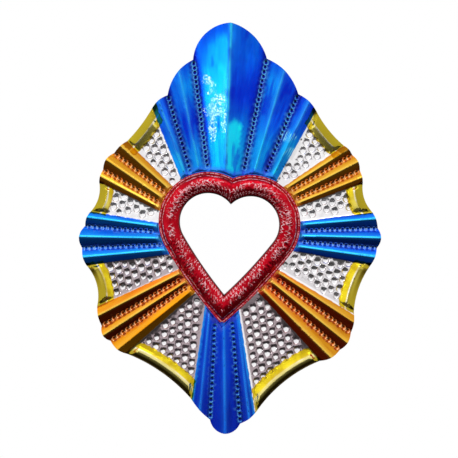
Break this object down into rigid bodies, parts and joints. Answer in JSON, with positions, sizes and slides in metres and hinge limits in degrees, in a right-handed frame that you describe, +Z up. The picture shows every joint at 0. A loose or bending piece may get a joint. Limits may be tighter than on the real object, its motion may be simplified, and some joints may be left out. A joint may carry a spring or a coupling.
{
  "type": "pressed tin heart mirror",
  "caption": "Wall ornament of pressed, lacquered tin: pleated rays and punched fields around a red heart-shaped frame with a mirror, and a swinging wire ring to hang it by.",
  "frame": {"origin": "middle of the hanging ring's straight side, on the axis it turns about, behind the upper ray", "axes": "+Z up, along the longest extent; +X to the viewer's right; the face looks towards -Y, so +Y points at the wall"},
  "size_m": [0.1812, 0.0088, 0.2463],
  "materials": {
    "lacquered_tin": "bare punched fields, with blue, amber and yellow translucent lacquer brushed on the rays and borders",
    "red_tin": "red translucent lacquer over stippled tin",
    "mirror_glass": "silvered glass",
    "grey_card": "plain grey board",
    "bare_tin": "bare tinplate, a little tarnished",
    "solder": "soft solder",
    "wire": "tinned steel wire"
  },
  "bodies": {
    "ornament": {"face_sheet": "lacquered_tin", "heart_frame": "red_tin", "mirror": "mirror_glass", "backing_card": "grey_card", "back_tray": "bare_tin", "tray_solder": "solder", "hanger_strap": "bare_tin", "strap_solder": "solder"},
    "ring": {"hanger_ring": "wire"}
  },
  "joints": [
    {"name": "hanger_ring_swing", "type": "hinge", "parent": "ornament", "child": "ring", "pos_m": [0, 0, 0], "axis": [1, 0, 0], "range_deg": [0, 180]}
  ]
}
